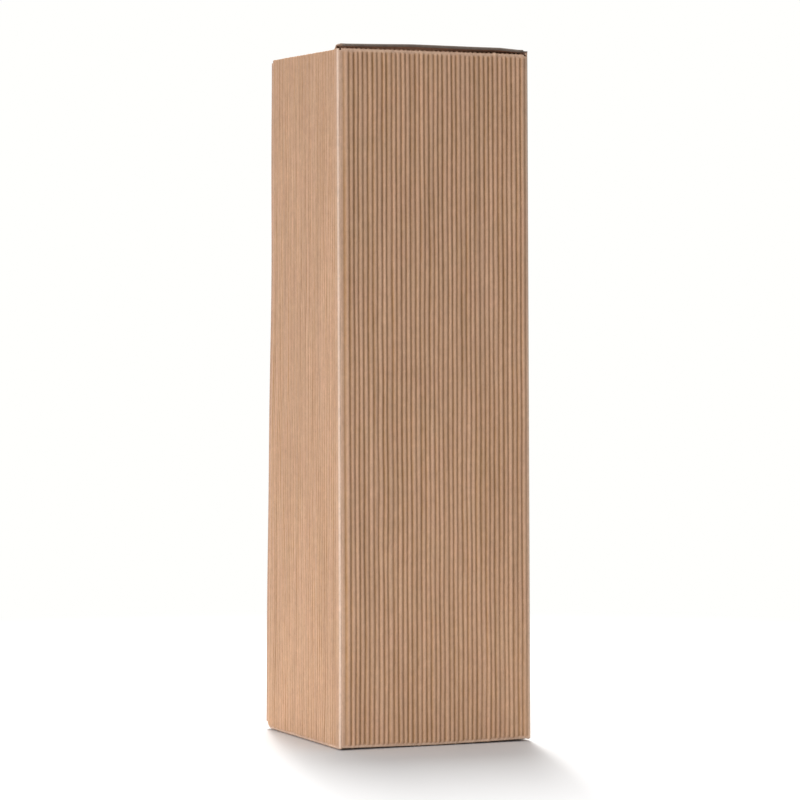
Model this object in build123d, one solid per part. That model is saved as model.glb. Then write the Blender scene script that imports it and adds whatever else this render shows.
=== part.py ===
from build123d import *
import math
import os

# Tall one-bottle box folded from one sheet of single-face corrugated board, with its flutes outside.
# Millimetres, +Z up, origin in the middle of the base. The lid hinges on the +X wall and its tuck flap
# goes inside the -X wall. The +Y and -Y walls carry the dust flaps.
# Every flap and wall is drawn in the place of the -Y wall, then turned about Z to its own side.

# Outer size, over the flute crests
width = 100.0
height = 336.0

# Board, measured from its smooth inner face
board = 1.3
crushed = 0.65
flute_pitch = 2.4
flute_root = 0.4
crest_half = 0.45
crest_drop = 0.1
fold_radius = 0.4
soft_bend = 2.0

# Flutes across one wall, from its left corner as seen from outside
wall_flutes = 39
first_flute = -46.0
crease_band = 2.4

# Gaps between layers of board that lie on each other
layer_gap = 0.1
lid_gap = 0.2

# Glue flap inside the +Y wall, in the -X corner
glue_flap_reach = 14.5
seam_edge = 49.7

# Dust flaps
dust_reach = 38.0
dust_half = 47.2
dust_tip_half = 42.0
dust_corner = 6.3
tuck_room = 45.4

# Lid and tuck flap
lid_half = 48.6
lid_flutes = 40
lid_first_flute = -48.4
tuck_fold = 47.4
tuck_reach = 21.0
tuck_half = 46.5
tuck_corner = 10.0
tuck_slant = 6.0

# Snap-lock base: one flap with a tongue, two side flaps and one flap with a slot
tongue_flap_half = 43.5
tongue_shoulder = -17.5
tongue_root_half = 35.0
tongue_half = 20.0
tongue_tip = 17.0
tongue_corner = 4.5
slotted_flap_half = 46.8
slotted_shoulder = -28.0
slot_half = 22.0
slot_bottom = -2.0
prong_outer = 37.0
prong_tip = 12.0
side_flap_half = 46.5
side_shoulder = -37.0
side_tip = -22.0
rise_start = -10.0
rise_end = 2.0
side_rise = 5.2
slotted_rise = 9.0

# Overlap of solids that are fused, and reach of the prisms that trim them
overlap = 0.1
beyond = 2 * height

# Faces of the walls and levels of the flaps
half = width / 2
wall_face = half - board
crushed_face = wall_face + crushed
fold_centre = wall_face - fold_radius
fold_outer = fold_radius + crushed
crease_end = fold_centre - crease_band
lid_face = height - board
dust_face = lid_face - lid_gap - board
rim = dust_face + crushed
tube_top = dust_face - fold_radius
base_face = board
tube_bottom = base_face + fold_radius

# Sides of the box, as the turn about Z that takes the -Y wall there
front, right, back, left = 0, 90, 180, 270


def flute_top(foot, rounded):
    """Section of one flute from foot to foot: two straight flanks and a round or a pressed flat crest."""
    middle = foot + flute_pitch / 2
    low = (middle - crest_half, board - crest_drop)
    high = (middle + crest_half, board - crest_drop)
    if rounded:
        crest = ThreePointArc(low, (middle, board), high)
    else:
        low, high = (low[0], board), (high[0], board)
        crest = Line(low, high)
    return [Line((foot, crushed), low), crest, Line(high, (foot + flute_pitch, crushed))]


def flutes(count, start, length, rounded):
    """Flutes side by side along X and running along +Y, with their crests at Z = board."""
    end = start + count * flute_pitch
    edges = [Polyline((end, crushed), (end, flute_root), (start, flute_root), (start, crushed))]
    for i in range(count):
        edges += flute_top(start + i * flute_pitch, rounded)
    section = Plane.XZ * make_face(Curve() + edges)
    return extrude(section, amount=length, dir=(0, 1, 0))


def folded_sheet(points, radii, outside, half_width):
    """Crushed board in the YZ plane, from the path of its inner face and the side that is outside."""
    path = FilletPolyline(*points, radius=radii)
    section = make_face(offset(path, amount=crushed, side=outside, closed=True))
    return extrude(Plane.YZ * section, amount=half_width, both=True)


def prism(points):
    """Tall prism on an outline in the XY plane."""
    return extrude(make_face(Polyline(*points, close=True)), amount=beyond, both=True)


def mirrored(points):
    """The points, then their mirror images in reverse: an outline symmetric about X = 0."""
    return points + [(-x, y) for x, y in reversed(points)]


def level(layer):
    """Height of the inner face of a base flap, counted in layers from the table."""
    return base_face + layer * (board + layer_gap)


def wall_tube():
    """The four walls without their flutes, with the glued seam in the (-X, +Y) corner."""
    outer = RectangleRounded(2 * crushed_face, 2 * crushed_face, fold_outer)
    inner = RectangleRounded(2 * wall_face, 2 * wall_face, fold_radius)
    seam = wall_face - crushed - fold_radius
    corner = Pos(-fold_centre - half, seam + half) * Rectangle(width, width)
    edge_reach = seam_edge - fold_centre
    raw_edge = Pos(-fold_centre - edge_reach / 2, wall_face + crushed / 2) * Rectangle(edge_reach, crushed)
    ring = Circle(fold_outer) - Circle(fold_radius)
    bend = Pos(-fold_centre, seam) * (ring & Pos(-half, half) * Rectangle(width, width))
    flap = Pos(glue_flap_reach / 2 - fold_centre, wall_face - crushed / 2) * Rectangle(
        glue_flap_reach, crushed
    )
    section = outer - inner - corner + raw_edge + bend + flap
    return Pos(0, 0, tube_bottom) * extrude(section, amount=tube_top - tube_bottom)


def upright_flutes(top):
    """Flutes of the -Y wall, from above the crease at its foot up to the level of top."""
    foot = tube_bottom + crease_band
    wall = Plane(origin=(0, -wall_face, foot), x_dir=(1, 0, 0), z_dir=(0, -1, 0))
    return wall * flutes(wall_flutes, first_flute, top - foot, True)


def raised_edge(top):
    """Plain upper edge of the -Y wall, from the level where the dust flaps fold up to top."""
    foot = tube_top - overlap
    strip = Box(2 * fold_centre, crushed, top - foot)
    return Pos(0, -wall_face - crushed / 2, (top + foot) / 2) * strip


def flat_flutes(face, near, far, up):
    """Pressed flutes on a level flap between two distances inwards, on its upper or its lower face."""
    facing = 1 if up else -1
    plane = Plane(origin=(0, near, face), x_dir=(facing, 0, 0), z_dir=(0, 0, facing))
    first = first_flute if up else -first_flute - wall_flutes * flute_pitch
    return plane * flutes(wall_flutes, first, far - near, False)


def dust_flap(tuck_side):
    """Flap folded in over the -Y wall. tuck_side is the sign of X towards the wall with the tuck flap."""
    tip = dust_reach - wall_face
    outline = [
        (dust_half, -half),
        (dust_half, -fold_centre),
        (tuck_room, crease_band / 2 - fold_centre),
        (dust_tip_half, tip - dust_corner),
        (dust_tip_half - dust_corner, tip),
        (dust_corner - dust_tip_half, tip),
        (-dust_tip_half, tip - dust_corner),
        (-dust_half, -crease_end),
        (-dust_half, -half),
    ]
    path = [(-wall_face, tube_top - crease_band), (-wall_face, dust_face), (tip, dust_face)]
    sheet = folded_sheet(path, fold_radius, Side.LEFT, half)
    ribs = flat_flutes(dust_face, -crease_end, tip, True)
    return (sheet + ribs) & prism([(tuck_side * x, y) for x, y in outline])


def base_sheet(rise, layer, tip):
    """Crushed board of a base flap that rises from the fold of the -Y wall to its own layer."""
    path = [(-wall_face, tube_bottom + crease_band), (-wall_face, base_face)]
    radii = [fold_radius]
    if layer:
        path.append((rise - wall_face, level(layer)))
        radii.append(soft_bend)
    path.append((tip, level(layer)))
    return folded_sheet(path, radii, Side.RIGHT, half)


def side_base_flap(tongue_side):
    """Middle layer of the base. tongue_side is the sign of X towards the flap with the tongue."""
    outline = [
        (side_flap_half, -half),
        (side_flap_half, side_shoulder),
        (tongue_half + side_rise, side_tip),
        (-tongue_half, side_tip),
        (slotted_rise - side_flap_half, -half),
    ]
    ribs = flat_flutes(level(1), side_rise - wall_face + soft_bend, side_tip, False)
    flap = base_sheet(side_rise, 1, side_tip) + ribs
    return flap & prism([(tongue_side * x, y) for x, y in outline])


def slotted_base_flap():
    """Inner layer of the base, with the slot that the tongue goes up through."""
    outline = mirrored(
        [
            (-slotted_flap_half, -half),
            (-slotted_flap_half, slotted_shoulder),
            (-prong_outer, prong_tip),
            (-slot_half, prong_tip),
            (-slot_half, slot_bottom),
        ]
    )
    start = slotted_rise - wall_face + soft_bend
    ribs = flat_flutes(level(2), start, prong_tip, False)
    return (base_sheet(slotted_rise, 2, prong_tip) + ribs) & prism(outline)


def tongue_base_flap():
    """Outer layer of the base, whose tongue rises through the slot and lies on the slotted flap."""
    path = [
        (-wall_face, tube_bottom + crease_band),
        (-wall_face, base_face),
        (rise_start, base_face),
        (rise_end, level(3)),
        (tongue_tip, level(3)),
    ]
    sheet = folded_sheet(path, [fold_radius, soft_bend, soft_bend], Side.RIGHT, half)
    outline = mirrored(
        [
            (-tongue_flap_half, -half),
            (-tongue_flap_half, tongue_shoulder),
            (-tongue_root_half, rise_start),
            (-tongue_half, rise_start),
            (-tongue_half, tongue_tip - tongue_corner),
            (tongue_corner - tongue_half, tongue_tip),
        ]
    )
    body_ribs = flat_flutes(base_face, -crease_end, rise_start - soft_bend, False)
    tongue_ribs = flat_flutes(level(3), rise_end + soft_bend, tongue_tip, False)
    return (sheet + body_ribs + tongue_ribs) & prism(outline)


def carton():
    """Walls, glue flap, dust flaps and base, which are all one folded sheet."""
    crease_top = tube_top - crease_band
    hinge_rim = lid_face - lid_gap
    sheet = wall_tube()
    sheet += Rot(0, 0, front) * (upright_flutes(crease_top) + dust_flap(-1) + side_base_flap(-1))
    sheet += Rot(0, 0, back) * (upright_flutes(crease_top) + dust_flap(1) + side_base_flap(1))
    sheet += Rot(0, 0, right) * (upright_flutes(crease_top) + raised_edge(hinge_rim) + slotted_base_flap())
    sheet += Rot(0, 0, left) * (upright_flutes(rim) + raised_edge(rim) + tongue_base_flap())
    return sheet


def tuck_outline():
    """Tall prism along Y that trims the lid to its width and rounds the corners of the tuck flap."""
    shoulder = lid_face - fold_radius
    outline = mirrored(
        [
            (-lid_half, beyond),
            (-lid_half, shoulder),
            (-tuck_half, shoulder),
            (-tuck_half, lid_face - tuck_reach),
        ]
    )
    face = make_face(Polyline(*outline, close=True))
    face = fillet(face.vertices().sort_by(Axis.Y)[:2], tuck_corner)
    return extrude(Plane.XZ * face, amount=width, both=True)


def lid():
    """Lid panel and its tuck flap, drawn as hinged on the +Y wall, then turned to the +X wall."""
    lean = math.radians(tuck_slant)
    down = Vector(0, math.sin(lean), -math.cos(lean))
    outward = Vector(0, -math.cos(lean), -math.sin(lean))
    corner = Vector(0, crushed - tuck_fold, lid_face)
    tip = corner + down * tuck_reach
    path = [(tip.Y, tip.Z), (corner.Y, corner.Z), (crushed_face, lid_face)]
    sheet = folded_sheet(path, fold_radius, Side.LEFT, lid_half)
    panel_plane = Plane(origin=corner + (0, crease_band, 0), x_dir=(1, 0, 0), z_dir=(0, 0, 1))
    panel_reach = crease_end - corner.Y - crease_band
    panel = panel_plane * flutes(lid_flutes, lid_first_flute, panel_reach, True)
    tuck_plane = Plane(origin=corner + down * crease_band, x_dir=(-1, 0, 0), z_dir=outward)
    tuck = tuck_plane * flutes(wall_flutes, first_flute, tuck_reach - crease_band, False)
    return Rot(0, 0, -90) * ((sheet + panel + tuck) & tuck_outline())


os.makedirs("parts", exist_ok=True)
export_step(carton(), "parts/carton.step")
export_step(lid(), "parts/lid.step")
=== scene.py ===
import math

import bpy
import numpy as np
from mathutils import Matrix, Vector


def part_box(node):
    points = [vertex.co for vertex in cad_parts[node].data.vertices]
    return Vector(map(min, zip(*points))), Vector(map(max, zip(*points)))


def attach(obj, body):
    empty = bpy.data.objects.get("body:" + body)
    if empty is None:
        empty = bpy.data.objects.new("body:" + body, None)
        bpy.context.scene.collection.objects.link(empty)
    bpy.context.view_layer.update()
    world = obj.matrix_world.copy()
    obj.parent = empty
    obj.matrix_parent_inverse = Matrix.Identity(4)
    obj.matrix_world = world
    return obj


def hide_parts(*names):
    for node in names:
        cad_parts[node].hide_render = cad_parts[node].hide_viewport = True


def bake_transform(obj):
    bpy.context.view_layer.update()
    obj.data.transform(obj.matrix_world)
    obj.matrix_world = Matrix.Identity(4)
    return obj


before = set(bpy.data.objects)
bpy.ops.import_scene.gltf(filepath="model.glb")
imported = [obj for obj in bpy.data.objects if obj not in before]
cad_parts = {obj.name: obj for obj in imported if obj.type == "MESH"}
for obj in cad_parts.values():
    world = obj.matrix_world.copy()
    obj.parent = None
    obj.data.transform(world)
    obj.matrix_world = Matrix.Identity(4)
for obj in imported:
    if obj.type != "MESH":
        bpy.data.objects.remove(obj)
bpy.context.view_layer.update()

# Driving sizes in millimetres. The overall ones come from the frame.
MM = 0.001
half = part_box("carton")[1].x / MM
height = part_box("lid")[1].z / MM

# Board, from its smooth inner face outwards
board = 1.3
crushed = 0.65
liner = 0.4
paper = 0.2
valley_floor = 0.6
fold_radius = 0.4
soft_bend = 2.0

# Flutes across a wall, from its left corner as seen from outside
pitch = 2.4
wall_flutes = 39
first_flute = -46.0
lid_flutes = 41
lid_first_flute = -48.4
flute_samples = 8
flute_power = 0.5
valley_width = 1.5
last_fade = 0.6 * pitch

# Share of the painted valley shade on a crest and in a valley, on most sides and on the left one, where the
# light grazes the flutes
even_valley_shades = (0.25, 0.9)
grazed_valley_shades = (0.0, 1.4)

# Faces and levels
wall_face = half - board
crushed_face = wall_face + crushed
fold_centre = wall_face - fold_radius
lid_face = height - board
lid_gap = 0.2
dust_face = lid_face - lid_gap - board
rim = dust_face + crushed
tube_top = dust_face - fold_radius
hinge_rim = lid_face - lid_gap
layer_gap = 0.1
layer = board + layer_gap
flap_inset = 0.3
flap_start = flap_inset - fold_centre
quarter = math.pi / 2
corner_run = (fold_radius + crushed / 2) * quarter

# Glued seam in the corner between the back wall and the left wall
seam_edge = 49.7
seam = wall_face - crushed - fold_radius
glue_flap_reach = 14.5

# Flaps
dust_tip = 38.0 - wall_face
dust_half = 47.2
dust_tip_half = 42.0
dust_corner = 6.3
dust_slope = 0.085
tuck_room = 45.4
tuck_room_end = 45.2
tuck_room_from = -47.1
tuck_room_to = -45.9
lid_half = 48.6
tuck_fold = 47.4
tuck_reach = 21.0
tuck_half = 46.5
tuck_corner = 10.0
tuck_slant = math.radians(6.0)
tongue_flap_half = 43.5
tongue_shoulder = -17.5
tongue_root_half = 35.0
tongue_half = 20.0
tongue_tip = 17.0
tongue_corner = 4.5
slotted_half = 46.8
slotted_shoulder = -28.0
slot_half = 22.0
slot_bottom = -2.0
prong_outer = 37.0
prong_tip = 12.0
side_half = 46.5
side_shoulder = -37.0
side_tip = -22.0
side_slant = -29.4
rise_start = -10.0
rise_end = 2.0
side_rise = 5.2
slotted_rise = 9.0

# Rows and columns of the meshes
near_reach = 6.0
near_step = 0.5
wall_step = 7.0
flap_step = 3.0
arc_steps = 6
no_wall = -1
hinge_columns = 60
same_place = 1e-9

# Open ends of the flutes: how far they are hollow, and the least height inside
tunnel = 5.0
tunnel_least = 0.02

# Columns between the corners and the flutes
crushed_columns = [-47.0, -46.5]
left_margin = [-fold_centre, -47.7] + crushed_columns
last_flat = 47.9
corner_arc = [fold_centre + corner_run * k / arc_steps for k in range(1, arc_steps + 1)]
right_margin = [last_flat, fold_centre] + corner_arc
seam_margin = [last_flat, fold_centre, 49.0, seam_edge]

# How far the first crease, the other creases and the upright corners turn to the paler colour: paper that is
# paler where crushed, with a painted highlight, which is most of it on the upright corners
crease_pale = 0.6
top_pale = 0.25
corner_pale = 0.95
corner_pale_at = corner_run / 3
corner_pale_width = corner_run / 2.5

# Share of the painted shade colour on cut edges, for the shaded inside of the open flutes, out at the walls,
# and where it grows to all of it further in
cut_least = 0.25
cut_zone = (-47, -43)

# Crushed bands beside the creases
band = 0.35
hinge_band = 1.7
ramp = 0.9
ragged = 0.2

# Irregular flutes: place, wander along the wall, and height
jitter = 0.13
wander = 0.1
wander_length = (45, 130)
uneven = 0.06
uneven_length = (30, 90)

# Ripples of the walls, as waves across half a wall, waves up the wall, and where they start
ripple = 0.11
ripple_waves = ((0.4, 1.3, 0.5), (0.9, 2.6, 2.0), (1.7, 3.4, 4.1), (0.3, 5.2, 1.1))
ripple_margin = 12

# The box is a little twisted, narrower at the top, and leans
twist = 0.019
taper = 0.0105
lean = 0.27

# The back corner of the left wall is pressed in a little over part of its height
dent = 0.8
dent_height = 225.0
dent_spread = 80.0

# The upright edge nearest the camera stands out a little towards the left, most at its foot
near_edge_out = 0.6
near_foot_out = 0.3
near_foot = (0, 60)

# The bottom of the seam corner is rounded off by wear, and the other corners reach down past the folds
worn_corner = 2.6
worn_reach = 5.0
worn_heights = (0, 25)
corner_drop = 0.6
corner_drop_reach = 0.6
corner_drop_heights = (2, 6)

# Lift and drop of the walls along their top and foot. At the foot it fades upwards, and inwards on the flap.
foot_heights = (2, 60)
foot_outer = (40, 48)
front_foot = ([-48, 0, 30, 48], [0.1, -0.45, -0.1, 0.35])
front_top_lift = 0.4
front_top_tilt = 0.55
front_top_heights = (300, 333)
left_foot_drop = 0.35
left_rim_lift = 0.2
left_rim_end_lift = 0.5
left_rim_end = (43, 48)
left_rim_start = 280

# The lid is raised on the front dust flap, as places and lifts along its front edge, and sinks at its back
# towards the wall that it tucks behind. The front end of its tuck fold bulges out over that wall.
lid_edge_places = [-46.8, -46.3, -45, -43.5, -30, -12, 5, 21, 35, 42, 45, 48.8]
lid_edge_lifts = [1.6, 1.45, 1.05, 1.0, 1.15, 1.4, 1.1, 0.85, 0.75, 0.2, 0.0, 0.0]
lid_edge_share = (41, 47.5)
lid_sink = 1.0
lid_sink_along = (-20, 35)
lid_bulge = 2.0
lid_bulge_across = (41, 47)
lid_bulge_along = (-46, -25)

# Rounded outside of the crease that the lid turns on
skin = 0.03
fold_round = 0.75
fold_overlap = 1.1

# Colours of the board: paper, warmer paper, painted shade for the valleys, paper paler at creases with a
# painted highlight, and painted shade for the cut edges of the carton and of the lid
kraft_tint = (0.64, 0.418, 0.274)
warm_tint = (0.65, 0.408, 0.274)
valley_shade_tint = (0.42, 0.225, 0.095)
crease_pale_and_highlight_tint = (0.86, 0.65, 0.49)
carton_edge_shade_tint = (0.35, 0.22, 0.14)
lid_edge_shade_tint = (0.19, 0.15, 0.12)

# Surface of the board
noise_levels = (0.3, 0.7)
noise_rough = 0.6
fibre_low, fibre_high = 0.93, 1.07
fleck_scale = 700.0
fleck_sizes = (0.05, 0.16)
fleck_tone = 0.86
board_rough = (0.78, 0.92)
board_shine = 0.25
bump_strength = 0.25
bump_height = 0.00012

# Sockets of a Mix node that mixes colours
mix_share, mix_a, mix_b, mix_result = 0, 6, 7, 2

# Background, and the floor as the camera sees it: its own colour by the box, and white further off
white_colour = (1.0, 1.0, 0.983, 1.0)
floor_tint = (0.82, 0.82, 0.815, 1)
floor_turns_white = (0.35, 0.7)
floor_reach = 6.0
floor_drop = 0.0002

# What the floor gives back to the box, by the box and further off
near_bounce = 0.65
far_bounce = 0.15
bounce_fades = (0.25, 0.45)

# Light: lamps as place, aim, width and depth in metres, and watts
ambient = 0.52
ambient_tint = (1, 0.98, 0.96, 1)
overhead_lamp = ((0.56, 2.10, 5.4), (0.56, 2.10, 0), 0.8, 3.2, 278)
overhead_turn = math.radians(-14.9)
back_lamp = ((0.94, 3.57, 4.73), (0, 0, 0), 0.35, 0.9, 88)
key_lamp = ((-2.22, -1.2, 0.5), (0, 0, 0.15), 0.9, 0.9, 36)
key_tint = (0.965, 1.0, 1.12)

# Camera, fitted to the edges of the box in the photograph
camera_place = (-0.6968, -1.7287, 0.22155)
camera_forward = (0.3743, 0.9268, -0.0301)
camera_lens = 170.1
camera_sensor = 36.0
camera_near = 0.05

# Sides of the box, as the turn about Z that takes the front wall there
front, right, back, left = 0, 90, 180, 270

random = np.random.default_rng(11)


def smooth(x, low, high):
    """Smooth step from 0 at low to 1 at high."""
    t = np.clip((x - low) / (high - low), 0.0, 1.0)
    return t * t * (3 - 2 * t)


def level(k):
    """Height of the inner face of a base flap, counted in layers from the table."""
    return board + k * layer


def warp(points):
    """The slight twist, taper and lean of the whole box."""
    h = (points[:, 2] - height / 2) / (height / 2)
    scale = 1 - taper * h
    x = points[:, 0] * scale
    y = points[:, 1] * scale
    turn = -twist * h
    moved = points.copy()
    moved[:, 0] = x * np.cos(turn) - y * np.sin(turn) + lean * h
    moved[:, 1] = x * np.sin(turn) + y * np.cos(turn)
    at_dent = smooth(-points[:, 0], 0, half) * smooth(points[:, 1], -half, half)
    moved[:, 0] += dent * at_dent * np.exp(-(((points[:, 2] - dent_height) / dent_spread) ** 2))
    at_near_edge = smooth(-points[:, 0], 0, half) * smooth(-points[:, 1], -half, half)
    moved[:, 0] -= at_near_edge * (near_edge_out + near_foot_out * (1 - smooth(points[:, 2], *near_foot)))
    return moved


def spaced(length, step, marks):
    """Distances along a straight run, closer together near both of its ends, and at the marks."""
    near = np.arange(0.0, min(near_reach, length / 2), near_step)
    count = max(round((length - 2 * near[-1]) / step), 1)
    middle = np.linspace(near[-1], length - near[-1], count + 1)[1:-1]
    inside = [m for m in marks if 0 < m < length]
    return np.unique(np.concatenate([near, middle, length - near, inside]).round(4))


class Strip:
    """Inner face of a folded strip in the plane across its folds, with the outside on its left.

    Each row has its distance s, its place y (inwards) and z (up), its heading and its leg, counted from 0.
    Rows in a bend have a half number. creases are the distances of the tight folds, and hinge is the lid's.
    """

    def __init__(self, corners, radii, wall_leg, marks=()):
        corners = [np.array(c, float) for c in corners]
        self.wall_leg = wall_leg
        self.creases = []
        self.hinge = None
        rows = []
        start, s = corners[0], 0.0
        for i in range(len(corners) - 1):
            along = corners[i + 1] - corners[i]
            heading = math.atan2(along[1], along[0])
            direction = np.array([math.cos(heading), math.sin(heading)])
            bend, trim, radius = 0.0, 0.0, 0.0
            if i < len(radii):
                after = corners[i + 2] - corners[i + 1]
                bend = (math.atan2(after[1], after[0]) - heading + math.pi) % (2 * math.pi) - math.pi
                radius = radii[i]
                trim = radius * abs(math.tan(bend / 2))
            length = np.linalg.norm(corners[i + 1] - start) - trim
            step = wall_step if i == wall_leg else flap_step
            marked = [(m - start) @ direction for m in np.array(marks).reshape(-1, 2)]
            for d in spaced(length, step, marked):
                rows.append((s + d, *(start + d * direction), heading, i))
            s += length
            if i < len(radii):
                begin = start + length * direction
                sign = math.copysign(1.0, bend)
                centre = begin + sign * radius * np.array([-math.sin(heading), math.cos(heading)])
                for k in range(1, arc_steps):
                    a = heading + bend * k / arc_steps
                    spot = centre + sign * radius * np.array([math.sin(a), -math.cos(a)])
                    rows.append((s + radius * abs(bend) * k / arc_steps, *spot, a, i + 0.5))
                if radius == fold_radius:
                    self.creases.append(s + radius * abs(bend) / 2)
                s += radius * abs(bend)
                end = heading + bend
                start = centre + sign * radius * np.array([math.sin(end), -math.cos(end)])
        self.s, self.y, self.z, self.heading, self.leg = np.array(rows).T

    def end_at_hinge(self):
        """Makes the last row the crease that the lid turns on."""
        self.hinge = self.s[-1]
        self.creases.append(self.hinge)


def limits(strip, bottom, wall, top):
    """Left and right edge of each row. Flaps have outlines of (y, left, right), and the wall has one pair."""
    low, high = np.full(len(strip.s), wall[0]), np.full(len(strip.s), wall[1])
    for outline, rows in ((bottom, strip.leg < strip.wall_leg), (top, strip.leg > strip.wall_leg)):
        if rows.any() and outline:
            y, left_edge, right_edge = np.array(outline).T
            low[rows] = np.interp(strip.y[rows], y, left_edge)
            high[rows] = np.interp(strip.y[rows], y, right_edge)
    return low, high


def slow_waves(s, lengths, count):
    """Slow waves along the rows, each with a length and a start of its own."""
    length = random.uniform(*lengths, count)
    start = random.uniform(0, 2 * math.pi, count)
    return np.sin(2 * math.pi * s[:, None] / length + start)


class Columns:
    """Places across the flutes, each with the number of its flute and how far across that flute it is."""

    def __init__(self, count, first, before, after):
        j = np.arange(count * flute_samples + 1)
        number = np.minimum(j // flute_samples, count - 1)
        self.count = count
        self.u = np.concatenate([before, first + pitch * j / flute_samples, after])
        self.number = np.concatenate([0 * before, number, 0 * after + count - 1]).astype(int)
        self.phase = np.concatenate([0 * before, j / flute_samples - number, 0 * after])
        self.start, self.end = self.u[self.phase > 0][[0, -1]]
        self.edge_places = random.normal(0, jitter, count + 1)
        self.edge_places[[0, -1]] = 0
        self.heights = 1 + random.normal(0, uneven, count)

    def wandering(self, s):
        """Sideways shift of every column at every row."""
        amplitude = wander * np.ones(self.count + 1)
        amplitude[[0, -1]] = 0
        at_edges = self.edge_places + amplitude * slow_waves(s, wander_length, self.count + 1)
        on_flutes = (1 - self.phase) * at_edges[:, self.number] + self.phase * at_edges[:, self.number + 1]
        outside = (self.u < self.start - pitch) | (self.u > self.end + pitch)
        return np.where(outside, 0, on_flutes)

    def flute(self, s, creases, hinge):
        """Height of the paper over the crushed board, from 0 in a valley or a crease to 1 on a full crest.

        Also how deep in a valley between two flutes each place is, from 0 on a crest or a crease to 1.
        """
        lobe = (0.5 - 0.5 * np.cos(2 * math.pi * self.phase)) ** flute_power
        rise = lobe * self.heights[self.number] * np.ones((len(s), 1))
        on_flutes = (self.u > self.start - pitch / 2) & (self.u < self.end + pitch / 2)
        last = self.end + pitch / flute_samples
        fade = 1 - smooth(self.u, last - last_fade, last)
        depth = (1 - lobe**valley_width) * on_flutes * fade * np.ones((len(s), 1))
        rise *= 1 + uneven * slow_waves(s, uneven_length, self.count)[:, self.number]
        for crease in creases:
            edge = random.normal(0, ragged, self.count)[self.number]
            flat = hinge_band if crease == hinge else band
            full = smooth(np.abs(s[:, None] - crease) + edge, flat, flat + ramp)
            rise *= full
            depth *= full
        return rise, depth


def flat_wall(u, t):
    """Plan of a wall that is flat from end to end."""
    return u, -wall_face - t


def cornered_wall(u, t):
    """Plan of a wall that bends round its right corner."""
    angle = np.clip((u - fold_centre) / corner_run, 0, 1) * quarter
    past = u > fold_centre
    x = np.where(past, fold_centre + (fold_radius + t) * np.sin(angle), u)
    return x, -fold_centre - (fold_radius + t) * np.cos(angle)


def seamed_wall(u, t):
    """Plan of the left wall, whose left end bends in and runs along the back wall as the glue flap."""
    x, y = cornered_wall(u, t)
    over = -u - seam
    angle = np.clip(over / corner_run, 0, 1) * quarter
    radius = fold_radius + t
    along = np.clip(over - corner_run, 0, None)
    x = np.where(over > 0, -seam - radius * np.sin(angle), x)
    return x, np.where(over > 0, -fold_centre - radius * np.cos(angle) + along, y)


def skin_faces(u, y, gap):
    """Faces of one skin of the sheet, and the edges of its border. Places that gap names are cut out."""
    rows, count = u.shape
    same = np.concatenate([np.zeros((rows, 1), bool), np.abs(np.diff(u, axis=1)) < same_place], axis=1)
    first = np.maximum.accumulate(np.where(same, 0, np.arange(count)), axis=1)
    outer = np.arange(rows)[:, None] * count + first
    corners = np.stack([outer[:-1, :-1], outer[:-1, 1:], outer[1:, 1:], outer[1:, :-1]], axis=-1)
    corners = corners.reshape(-1, 4)
    if gap is not None:
        middle_u = (u[:-1, :-1] + u[1:, 1:]) / 2
        middle_y = (y[:-1, None] + y[1:, None]) / 2
        corners = corners[~gap(middle_u, middle_y + 0 * middle_u).reshape(-1)]
    corners = corners[(corners[:, 0] != corners[:, 1]) | (corners[:, 2] != corners[:, 3])]
    faces = [tuple(dict.fromkeys(c)) for c in corners.tolist()]
    edges = {(f[i - 1], f[i]) for f in faces for i in range(len(f))}
    return faces, sorted(e for e in edges if (e[1], e[0]) not in edges)


def paleness_and_highlight(u, strip, plan):
    """How much paler the paper is at the creases and round an upright folded corner: partly paler crushed
    paper, partly a painted highlight.
    """
    shares = [crease_pale] + [top_pale] * (len(strip.creases) - 1)
    bands = [pale * np.exp(-(((strip.s - c) / band) ** 2)) for pale, c in zip(shares, strip.creases)]
    upright = np.exp(-(((u - fold_centre - corner_pale_at) / corner_pale_width) ** 2))
    folded = (strip.leg == strip.wall_leg)[:, None] * (plan is not flat_wall)
    return np.maximum(np.max(bands, axis=0)[:, None], corner_pale * (upright * folded))


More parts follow.
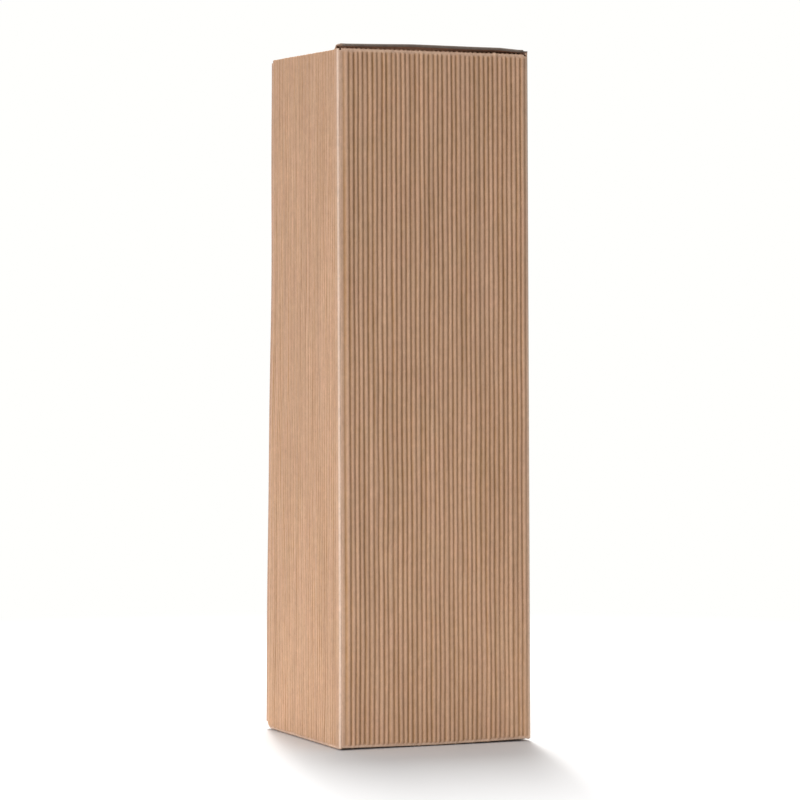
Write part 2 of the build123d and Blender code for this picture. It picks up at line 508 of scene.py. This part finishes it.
def sheet_mesh(name, strip, columns, low, high, plan, hollow, turn, shift=None, gap=None):
    """Mesh of one folded strip of board: outer face, inner face, cut edges, and open ends of flutes.

    hollow tells if the first and the last row are cut across the flutes. shift moves places along y and z.
    gap tells which places (u, y) are cut out.
    """
    s = strip.s
    u = np.clip(columns.u + columns.wandering(s), low[:, None], high[:, None])
    rise, depth = columns.flute(s, strip.creases, strip.hinge)
    thick = crushed + (board - crushed) * rise - (crushed - valley_floor) * depth
    wall_rows = (strip.leg == strip.wall_leg)[:, None]
    normal_y = -np.sin(strip.heading)[:, None]
    normal_z = np.cos(strip.heading)[:, None]
    waves = wall_ripple(u, s) * wall_rows

    def place(t, along=0.0):
        """Places at a height t above the inner face, moved by a distance along the strip."""
        x, y = plan(u, t + waves)
        z = strip.z[:, None] + along * np.sin(strip.heading)[:, None] + 0 * t
        flap_y = strip.y[:, None] + normal_y * t + along * np.cos(strip.heading)[:, None]
        points = np.stack([np.where(wall_rows, x, u), np.where(wall_rows, y, flap_y), z + 0 * u], axis=-1)
        points[..., 2] += np.where(wall_rows, 0, normal_z * t)
        past = smooth(u, fold_centre, fold_centre + corner_drop_reach) * wall_rows
        points[..., 2] -= corner_drop * past * (1 - smooth(points[..., 2], *corner_drop_heights))
        if shift is not None:
            points[..., 1:] += shift(u, strip.y[:, None] + 0 * u, points[..., 2])
        return points

    rows, count = u.shape
    size = rows * count
    faces, border = skin_faces(u, strip.y, gap)
    faces += [tuple(size + v for v in reversed(f)) for f in faces]
    skins = len(faces)

    points = [place(thick), place(0 * thick)]
    # Painted shade in the flute valleys, a little on the crests, and stronger on the left wall, which the
    # light grazes
    crest_shade, valley_shade = grazed_valley_shades if plan is seamed_wall else even_valley_shades
    valley = [valley_shade * depth + crest_shade * rise, 0 * rise]
    roof = np.maximum(thick - paper, liner + tunnel_least)
    floor = liner + 0 * thick
    rings = {}
    for row, is_open, inward in ((0, hollow[0], tunnel), (rows - 1, hollow[1], -tunnel)):
        if is_open:
            floor_out, roof_out, floor_in, roof_in = (len(points) * size + k * count for k in range(4))
            rings[row] = (size + row * count, floor_out, floor_in, roof_in, roof_out, row * count)
            levels = ((floor, 0), (roof, 0), (floor, inward), (roof, inward))
            block = np.stack([place(t, along)[row] for t, along in levels])
            points.append(np.concatenate([block, np.zeros((rows - len(block), count, 3))]))
            valley.append(0 * rise)
    for a, b in border:
        ring = rings.get(a // count, ())
        if ring and a // count == b // count:
            i, j = a % count, b % count
            faces += [(p + i, p + j, q + j, q + i) for p, q in zip(ring, ring[1:])]
        else:
            faces.append((b, a, size + a, size + b))

    co = warp(turned(np.concatenate([p.reshape(-1, 3) for p in points]), turn)) * MM
    used = np.unique(np.concatenate([np.array(f) for f in faces]))
    renumber = np.full(len(co), -1)
    renumber[used] = np.arange(len(used))
    mesh = bpy.data.meshes.new(name)
    mesh.from_pydata(co[used].tolist(), [], [[int(renumber[v]) for v in f] for f in faces])
    face_y = np.tile(strip.y[:, None] + 0 * u, (len(points), 1)).reshape(-1)[[f[0] for f in faces]]
    # Cut edges get painted shade for the shaded inside of the open flutes, more of it further in
    cut = (np.arange(len(faces)) >= skins) * (cut_least + (1 - cut_least) * smooth(face_y, *cut_zone))
    add_values(mesh, "valley", np.concatenate([v.reshape(-1) for v in valley])[used])
    add_values(mesh, "cut", cut, "FACE")
    # Creases and upright corners: paler crushed paper with a painted highlight
    add_values(mesh, "crease", np.tile(paleness_and_highlight(u, strip, plan).reshape(-1), len(points))[used])
    return piece_of(mesh, flat_places(u, s[:, None], len(points))[used])


def add_values(mesh, name, values, domain="POINT"):
    """Stores one number for each vertex or face, for the material."""
    attribute = mesh.attributes.new(name, "FLOAT", domain)
    attribute.data.foreach_set("value", values.astype(np.float32))


def flat_places(u, s, layers):
    """Where each vertex of a number of like layers lies on the flat sheet, in metres."""
    return np.tile(np.stack([u + 0 * s, s + 0 * u], axis=-1).reshape(-1, 2), (layers, 1)) * MM


def linked(name, data):
    """Object with this data, in the scene."""
    thing = bpy.data.objects.new(name, data)
    bpy.context.scene.collection.objects.link(thing)
    return thing


def piece_of(mesh, flat):
    """Smoothly shaded piece, whose vertices lie at these places on the flat sheet."""
    loops = np.empty(len(mesh.loops), int)
    mesh.loops.foreach_get("vertex_index", loops)
    mesh.uv_layers.new(name="sheet").data.foreach_set("uv", flat[loops].reshape(-1))
    mesh.shade_smooth()
    mesh.validate()
    return linked(mesh.name, mesh)


def turned(points, degrees):
    """Points turned about Z from the place of the front wall to another side."""
    c, s = round(math.cos(math.radians(degrees))), round(math.sin(math.radians(degrees)))
    moved = points.copy()
    moved[:, 0] = c * points[:, 0] - s * points[:, 1]
    moved[:, 1] = s * points[:, 0] + c * points[:, 1]
    return moved


def wall_ripple(u, s):
    """Gentle unevenness of a wall, none at its corners."""
    fade = smooth(fold_centre - np.abs(u), 0, ripple_margin)
    across, along = u / half, s[:, None] / height
    waves = sum(np.sin(2 * math.pi * (a * across + b * along) + c) for a, b, c in ripple_waves)
    return ripple * waves * fade


def side_columns(before, after):
    """Columns of a wall and its flaps."""
    return Columns(wall_flutes, first_flute, np.array(before), np.array(after))


def mirrored(outline):
    """Outline rows of (y, left, right) with left and right swapped."""
    return [(y, -b, -a) for y, a, b in outline]


def lifted(lift):
    """Shift straight up, as a move along y and a move along z."""
    return np.stack([0 * lift, lift], axis=-1)


def front_shift(u, y, z):
    """The front fold stands a little higher at its left, and the front's foot bows down in its middle."""
    top = (front_top_lift - front_top_tilt * u / fold_centre) * smooth(z, *front_top_heights)
    foot = np.interp(u, *front_foot) * ((1 - smooth(z, *foot_heights)) * smooth(-y, *foot_outer))
    return lifted(top + foot)


def back_shift(u, y, z):
    """The bottom of the seam corner is worn off."""
    return lifted(worn_corner * smooth(u, half - worn_reach, half) * (1 - smooth(z, *worn_heights)))


def left_shift(u, y, z):
    """The raw upper edge stands a little high, the foot low, and the foot of the seam corner is worn off."""
    worn = worn_corner * (1 - smooth(u, -half, worn_reach - half)) * (1 - smooth(z, *worn_heights))
    raised = (left_rim_lift + left_rim_end_lift * smooth(u, *left_rim_end)) * smooth(z, left_rim_start, rim)
    foot = left_foot_drop * (1 - smooth(z, *foot_heights)) * smooth(-y, *foot_outer)
    return lifted(raised + worn - foot)


def lid_shift(u, y, z):
    """How the lid lies: lift of its front edge, sinking of its back, and bulge of its tuck fold."""
    at_front = np.interp(y, lid_edge_places, lid_edge_lifts)
    behind = -lid_sink * (1 - smooth(y, *lid_sink_along))
    share = smooth(u, *lid_edge_share)
    bulge = -lid_bulge * smooth(u, *lid_bulge_across) * (1 - smooth(y, *lid_bulge_along))
    return np.stack([bulge, at_front * share + behind * (1 - share)], axis=-1)


def dust_side(name, side, after, plan, shift):
    """Front or back wall with its dust flap and its side flap of the base, which mirror those opposite."""
    strip = Strip(
        [
            (side_tip, level(1)),
            (side_rise - wall_face, level(1)),
            (-wall_face, board),
            (-wall_face, dust_face),
            (dust_tip, dust_face - dust_slope * (dust_tip + wall_face)),
        ],
        [soft_bend, fold_radius, fold_radius],
        wall_leg=2,
    )
    bottom = [
        (-fold_centre, -fold_centre, fold_centre),
        (flap_start, slotted_rise - side_half, side_half),
        (side_shoulder, side_slant, side_half),
        (side_tip, -tongue_half, tongue_half + side_rise),
    ]
    top = [
        (-half, -dust_half, dust_half),
        (-fold_centre, -dust_half, dust_half),
        (tuck_room_from, -dust_half, tuck_room),
        (tuck_room_to, -dust_half, tuck_room_end),
        (dust_tip - dust_corner, -dust_tip_half, dust_tip_half),
        (dust_tip, dust_corner - dust_tip_half, dust_tip_half - dust_corner),
    ]
    if side == front:
        bottom, top = mirrored(bottom), mirrored(top)
    low, high = limits(strip, bottom, (-fold_centre, after[-1]), top)
    columns = side_columns(left_margin, after)
    return sheet_mesh(name, strip, columns, low, high, plan, (True, True), side, shift)


def slotted_side():
    """Right wall, which the lid hangs on, with the slotted flap of the base."""
    strip = Strip(
        [
            (prong_tip, level(2)),
            (slotted_rise - wall_face, level(2)),
            (-wall_face, board),
            (-wall_face, hinge_rim),
        ],
        [soft_bend, fold_radius],
        wall_leg=2,
        marks=[(slot_bottom, level(2))],
    )
    bottom = [
        (-fold_centre, -fold_centre, fold_centre),
        (flap_start, -slotted_half, slotted_half),
        (slotted_shoulder, -slotted_half, slotted_half),
        (prong_tip, -prong_outer, prong_outer),
    ]
    strip.end_at_hinge()
    low, high = limits(strip, bottom, (-fold_centre, right_margin[-1]), None)
    above = (strip.leg == strip.wall_leg) & (strip.z > tube_top)
    low[above] = -fold_centre
    high[above] = fold_centre

    def slot(u, y):
        """Slot that the tongue goes up through, between the two prongs."""
        return (np.abs(u) < slot_half) & (y > slot_bottom)

    columns = side_columns(left_margin, right_margin)
    return sheet_mesh("right_side", strip, columns, low, high, cornered_wall, (True, False), right, gap=slot)


def tongue_side():
    """Left wall, which the lid tucks behind, with the tongue flap of the base and the glue flap."""
    strip = Strip(
        [
            (tongue_tip, level(3)),
            (rise_end, level(3)),
            (rise_start, board),
            (-wall_face, board),
            (-wall_face, rim),
        ],
        [soft_bend, soft_bend, fold_radius],
        wall_leg=3,
    )
    bottom = [
        (-fold_centre, -seam, fold_centre),
        (flap_start, -tongue_flap_half, tongue_flap_half),
        (tongue_shoulder, -tongue_flap_half, tongue_flap_half),
        (rise_start, -tongue_root_half, tongue_root_half),
        (rise_start + flap_inset, -tongue_half, tongue_half),
        (tongue_tip - tongue_corner, -tongue_half, tongue_half),
        (tongue_tip, tongue_corner - tongue_half, tongue_half - tongue_corner),
    ]
    glue_end = -seam - corner_run - glue_flap_reach
    before = [glue_end, -seam - corner_run - glue_flap_reach / 2]
    before += [-seam - corner_run * k / arc_steps for k in range(arc_steps, -1, -1)]
    low, high = limits(strip, bottom, (glue_end, right_margin[-1]), None)
    low[(strip.leg == strip.wall_leg) & (strip.z > tube_top)] = -seam
    columns = side_columns(before + crushed_columns, right_margin)
    return sheet_mesh("left_side", strip, columns, low, high, seamed_wall, (True, True), left, left_shift)


def lid_sheet():
    """Lid panel and its tuck flap, hinged on the right wall and drawn from the tip of the tuck flap."""
    fold = np.array([crushed - tuck_fold, lid_face])
    tip = fold + tuck_reach * np.array([math.sin(tuck_slant), -math.cos(tuck_slant)])
    strip = Strip([tip, fold, (crushed_face, lid_face)], [fold_radius], no_wall)
    strip.end_at_hinge()
    from_tip = np.clip(tuck_corner - strip.s, 0, None)
    rounding = np.sqrt(tuck_corner**2 - from_tip**2)
    width = np.where(strip.leg < 1, tuck_half, lid_half) - tuck_corner + rounding
    columns = Columns(lid_flutes, lid_first_flute, np.array([-lid_half]), np.array([]))
    return sheet_mesh("lid_sheet", strip, columns, -width, width, flat_wall, (True, False), left, lid_shift)


def hinge_fold():
    """Rounded outside of the crease between the right wall and the lid."""
    u = np.linspace(-fold_centre, fold_centre, hinge_columns)
    angle = np.linspace(0, quarter, arc_steps + 1)
    face, roof = crushed_face + skin, lid_face + crushed + skin
    side, top = fold_round - face, roof - fold_round
    y = np.concatenate([[-face], side - fold_round * np.cos(angle), [fold_round + fold_overlap - face]])
    z = np.concatenate([[top - fold_overlap], top + fold_round * np.sin(angle), [roof]])
    out_y = np.concatenate([[-1], -np.cos(angle), [0]])
    out_z = np.concatenate([[0], np.sin(angle), [1]])
    ripples = wall_ripple(u, np.array([hinge_rim])) * (1 - smooth(y, -face, side))[:, None]
    skins = []
    for t in (0, paper):
        skin_y = (y - t * out_y)[:, None] - ripples
        skin_z = (z - t * out_z)[:, None] + 0 * ripples
        skins.append(np.stack([u + 0 * ripples, skin_y, skin_z], axis=-1).reshape(-1, 3))
    rows, count = ripples.shape
    size = rows * count
    starts = [r * count + c for r in range(rows - 1) for c in range(count - 1)]
    quads = [(n, n + 1, n + count + 1, n + count) for n in starts]
    border = list(range(count)) + [r * count + count - 1 for r in range(1, rows)]
    border += [(rows - 1) * count + c for c in range(count - 2, -1, -1)]
    border += [r * count for r in range(rows - 2, 0, -1)]
    faces = quads + [tuple(size + v for v in reversed(q)) for q in quads]
    faces += [(b, a, size + a, size + b) for a, b in zip(border, border[1:] + border[:1])]
    mesh = bpy.data.meshes.new("hinge_fold")
    points = warp(turned(np.concatenate(skins), right)) * MM
    mesh.from_pydata(points.tolist(), [], faces)
    run = np.concatenate([[0], np.cumsum(np.hypot(np.diff(y), np.diff(z)))])
    # The hinge crease gets the paler paper and painted highlight too
    add_values(mesh, "crease", np.full(2 * size, crease_pale))
    return piece_of(mesh, flat_places(u, run[:, None], 2))


def nodes_of(owner, output):
    """The node tree of a material or world, cleared but for its output."""
    owner.use_nodes = True
    tree = owner.node_tree
    for node in list(tree.nodes):
        tree.nodes.remove(node)
    return tree, tree.nodes.new(output)


def add(tree, kind, inputs=None, **settings):
    """Adds a node, sets its properties, and fills or links its inputs."""
    node = tree.nodes.new(kind)
    for key, value in settings.items():
        setattr(node, key, value)
    for key, value in (inputs or {}).items():
        if isinstance(value, bpy.types.NodeSocket):
            tree.links.new(value, node.inputs[key])
        else:
            node.inputs[key].default_value = value
    return node


def ranged(tree, value, low, high, to_low=0.0, to_high=1.0):
    """A value carried from one range to another and held inside it."""
    inputs = {"Value": value, "From Min": low, "From Max": high, "To Min": to_low, "To Max": to_high}
    return add(tree, "ShaderNodeMapRange", inputs).outputs["Result"]


def kraft_board(name, edge_shade_colour):
    """Brown kraft board: fibres, flecks, clouds of tone, painted shade in the valleys, creases paler as
    crushed paper and with a painted highlight, and cut edges with painted shade.
    """
    material = bpy.data.materials.new(name)
    tree, output = nodes_of(material, "ShaderNodeOutputMaterial")
    uv = add(tree, "ShaderNodeUVMap", uv_map="sheet").outputs["UV"]
    valley = add(tree, "ShaderNodeAttribute", attribute_name="valley").outputs["Fac"]
    crease = add(tree, "ShaderNodeAttribute", attribute_name="crease").outputs["Fac"]
    cut = add(tree, "ShaderNodeAttribute", attribute_name="cut").outputs["Fac"]

    def noise(scale, stretch, detail, low, high):
        """Noise over the sheet, stretched along the flutes, as a value between two levels."""
        mapping = add(tree, "ShaderNodeMapping", {"Vector": uv, "Scale": (1, 1 / stretch, 1)})
        place = mapping.outputs["Vector"]
        inputs = {"Vector": place, "Scale": scale, "Detail": detail, "Roughness": noise_rough}
        texture = add(tree, "ShaderNodeTexNoise", inputs)
        return ranged(tree, texture.outputs["Fac"], *noise_levels, low, high)

    def times(a, b):
        """Product of two values."""
        return add(tree, "ShaderNodeMath", {0: a, 1: b}, operation="MULTIPLY").outputs["Value"]

    def toned(colour):
        """A colour with the sheet's uneven tone."""
        scaled = add(tree, "ShaderNodeVectorMath", {0: colour, "Scale": tone}, operation="SCALE")
        return scaled.outputs["Vector"]

    def mixed(share, a, b):
        """Mix of two colours, from the first to the second."""
        a, b = ((*c, 1.0) if isinstance(c, tuple) else c for c in (a, b))
        mix = add(tree, "ShaderNodeMix", {mix_share: share, mix_a: a, mix_b: b}, data_type="RGBA")
        return mix.outputs[mix_result]

    clouds = noise(scale=28, stretch=2.5, detail=3, low=0.955, high=1.045)
    lines = noise(scale=320, stretch=60, detail=1, low=0.92, high=1.08)
    patches = noise(scale=250, stretch=2, detail=3, low=0.95, high=1.05)
    mottle = noise(scale=800, stretch=3, detail=3, low=0.93, high=1.07)
    streaks = noise(scale=900, stretch=45, detail=2, low=0.96, high=1.04)
    fibres = noise(scale=2600, stretch=3, detail=4, low=fibre_low, high=fibre_high)
    specks = {"Vector": uv, "Scale": fleck_scale, "Randomness": 1.0}
    near_speck = add(tree, "ShaderNodeTexVoronoi", specks, feature="F1").outputs["Distance"]
    flecks = ranged(tree, near_speck, *fleck_sizes, fleck_tone, 1.0)
    tone = times(times(times(clouds, streaks), times(fibres, lines)), times(times(patches, mottle), flecks))
    warmth = noise(scale=70, stretch=1.5, detail=2, low=0.0, high=1.0)
    base = mixed(warmth, kraft_tint, warm_tint)
    # Painted shade in the valleys, its strength varying along and across the flutes
    long_change = noise(scale=400, stretch=40, detail=0, low=0.62, high=1.02)
    short_change = noise(scale=330, stretch=3, detail=3, low=0.75, high=1.05)
    groove = ranged(tree, valley, 0.0, 1.0, 0.0, times(long_change, short_change))
    paper_with_painted_light = mixed(crease, mixed(groove, toned(base), toned(valley_shade_tint)), toned(crease_pale_and_highlight_tint))
    grain = {"Height": times(fibres, clouds), "Strength": bump_strength, "Distance": bump_height}
    # Cut edges take the painted edge shade
    looks = {
        "Base Color": mixed(cut, paper_with_painted_light, toned(edge_shade_colour)),
        "Roughness": ranged(tree, fibres, fibre_low, fibre_high, *board_rough),
        "Specular IOR Level": board_shine,
        "Normal": add(tree, "ShaderNodeBump", grain).outputs["Normal"],
    }
    shader = add(tree, "ShaderNodeBsdfPrincipled", looks)
    tree.links.new(shader.outputs["BSDF"], output.inputs["Surface"])
    return material


def white_floor():
    """Pale floor that the camera sees as white where it is lit, with the box's shadow."""
    material = bpy.data.materials.new("floor_white")
    tree, output = nodes_of(material, "ShaderNodeOutputMaterial")
    path = add(tree, "ShaderNodeLightPath")
    place = add(tree, "ShaderNodeNewGeometry").outputs["Position"]
    distance = add(tree, "ShaderNodeVectorMath", {0: place}, operation="LENGTH").outputs["Value"]
    near = add(tree, "ShaderNodeBsdfDiffuse", {"Color": floor_tint})
    white = add(tree, "ShaderNodeEmission", {"Color": white_colour, "Strength": 1.0})
    far = ranged(tree, distance, *floor_turns_white)
    shown = add(tree, "ShaderNodeMixShader", {0: far, 1: near.outputs[0], 2: white.outputs[0]})
    bounce = ranged(tree, distance, *bounce_fades, near_bounce, far_bounce)
    grey = add(tree, "ShaderNodeVectorMath", {0: (1, 1, 1), "Scale": bounce}, operation="SCALE")
    dim = add(tree, "ShaderNodeBsdfDiffuse", {"Color": grey.outputs["Vector"]})
    camera_ray = path.outputs["Is Camera Ray"]
    seen = add(tree, "ShaderNodeMixShader", {0: camera_ray, 1: dim.outputs[0], 2: shown.outputs[0]})
    tree.links.new(seen.outputs[0], output.inputs["Surface"])
    mesh = bpy.data.meshes.new("floor")
    corners = [(x * floor_reach, y * floor_reach, 0) for x, y in ((-1, -1), (1, -1), (1, 1), (-1, 1))]
    mesh.from_pydata(corners, [], [(0, 1, 2, 3)])
    mesh.materials.append(material)
    floor = linked("floor", mesh)
    floor.location = (0, 0, -floor_drop)


def white_world():
    """Even light from all round, which the camera sees as white."""
    world = bpy.data.worlds.new("studio")
    bpy.context.scene.world = world
    tree, output = nodes_of(world, "ShaderNodeOutputWorld")
    camera_ray = add(tree, "ShaderNodeLightPath").outputs["Is Camera Ray"]
    seen = add(tree, "ShaderNodeBackground", {"Color": white_colour, "Strength": 1.0})
    light = add(tree, "ShaderNodeBackground", {"Color": ambient_tint, "Strength": ambient})
    mix = add(tree, "ShaderNodeMixShader", {0: camera_ray, 1: light.outputs[0], 2: seen.outputs[0]})
    tree.links.new(mix.outputs[0], output.inputs["Surface"])


def soft_lamp(name, place, aim, width, depth, watts):
    """Rectangular area lamp that faces a point."""
    lamp = bpy.data.lights.new(name, "AREA")
    lamp.shape = "RECTANGLE"
    lamp.size = width
    lamp.size_y = depth
    lamp.energy = watts
    holder = linked(name, lamp)
    holder.location = place
    holder.rotation_euler = (Vector(aim) - Vector(place)).to_track_quat("-Z", "Y").to_euler()
    return holder


def photo_camera():
    """Camera at the photograph's place, for a square picture."""
    camera = bpy.data.cameras.new("camera")
    camera.sensor_width = camera_sensor
    camera.lens = camera_lens
    camera.clip_start = camera_near
    holder = linked("camera", camera)
    forward = Vector(camera_forward).normalized()
    side = forward.cross(Vector((0, 0, 1))).normalized()
    up = side.cross(forward)
    turn = Matrix((side, up, -forward)).transposed()
    holder.matrix_world = Matrix.Translation(camera_place) @ turn.to_4x4()
    bpy.context.scene.camera = holder


kraft = kraft_board("kraft", carton_edge_shade_tint)
sides = [
    dust_side("front_side", front, right_margin, cornered_wall, front_shift),
    slotted_side(),
    dust_side("back_side", back, seam_margin, flat_wall, back_shift),
    tongue_side(),
]
for piece in sides:
    piece.data.materials.append(kraft)
    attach(piece, "carton")
    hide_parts("carton")
lid = lid_sheet()
lid.data.materials.append(kraft_board("lid_kraft", lid_edge_shade_tint))
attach(lid, "lid")
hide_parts("lid")

fold = hinge_fold()
fold.data.materials.append(kraft)
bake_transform(fold)

white_floor()
white_world()
overhead = soft_lamp("overhead_light", *overhead_lamp)
overhead.rotation_euler = (0, 0, overhead_turn)
soft_lamp("back_light", *back_lamp)
key = soft_lamp("key_light", *key_lamp)
key.data.color = key_tint
photo_camera()
bpy.context.scene.view_settings.view_transform = "Standard"
